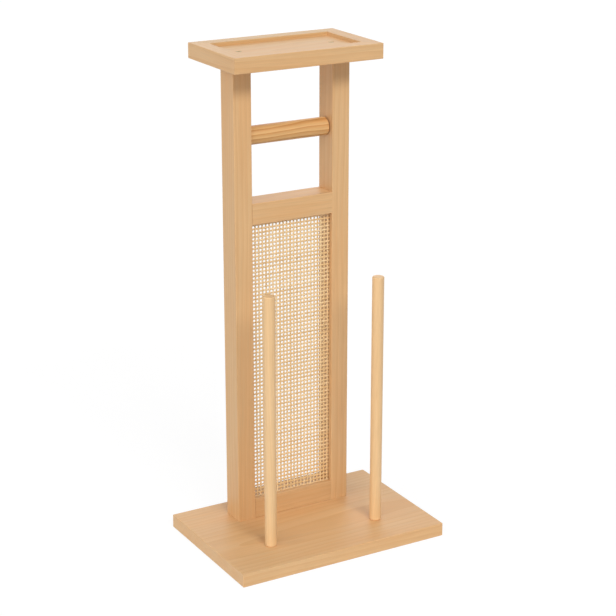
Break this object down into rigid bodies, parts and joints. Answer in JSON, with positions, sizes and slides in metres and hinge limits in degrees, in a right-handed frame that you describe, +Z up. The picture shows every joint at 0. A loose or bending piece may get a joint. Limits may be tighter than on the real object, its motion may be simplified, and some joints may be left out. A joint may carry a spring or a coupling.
{
  "type": "toilet paper stand",
  "caption": "Free-standing wooden toilet paper stand: base board, posts with a woven cane panel, a sprung roll bar, a shallow top tray and upright rods for spare rolls.",
  "frame": {"origin": "middle of the base board's underside, on the floor", "axes": "+Z up, -Y to the front where the spare-roll rods stand, +X to the right as seen from the front"},
  "size_m": [0.3, 0.2175, 0.65],
  "materials": {
    "pine": "clear matt lacquer on planed pine",
    "bar_pine": "clear matt lacquer on turned pine",
    "dowel": "clear matt lacquer on turned beech",
    "cane": "natural split cane, woven",
    "zinc_steel": "zinc plated",
    "pin_steel": "turned, bright",
    "spring_steel": "drawn wire",
    "nylon": "moulded, natural"
  },
  "bodies": {
    "stand": {"base_plate": "pine", "left_post": "pine", "right_post": "pine", "bottom_rail": "pine", "mid_rail": "pine", "rail_dowels": "dowel", "cane_panel": "cane", "tray_floor": "pine", "tray_front_rim": "pine", "tray_back_rim": "pine", "tray_left_rim": "pine", "tray_right_rim": "pine", "left_rod": "dowel", "right_rod": "dowel", "post_screws": "zinc_steel", "rod_screws": "zinc_steel", "tray_screws": "zinc_steel"},
    "bar": {"bar_body": "bar_pine", "bar_pin": "pin_steel", "bar_collar": "nylon", "bar_spring": "spring_steel"},
    "plunger": {"bar_plunger": "pin_steel"}
  },
  "joints": [
    {"name": "bar_spin", "type": "hinge", "parent": "stand", "child": "bar", "pos_m": [0, 0.0535, 0.5375], "axis": [1, 0, 0], "continuous": true},
    {"name": "plunger_slide", "type": "slide", "parent": "bar", "child": "plunger", "axis": [-1, 0, 0], "range_m": [0, 0.008], "stiffness_N_per_m": 300, "springref_m": -0.008, "deforming": ["bar_spring"]}
  ]
}
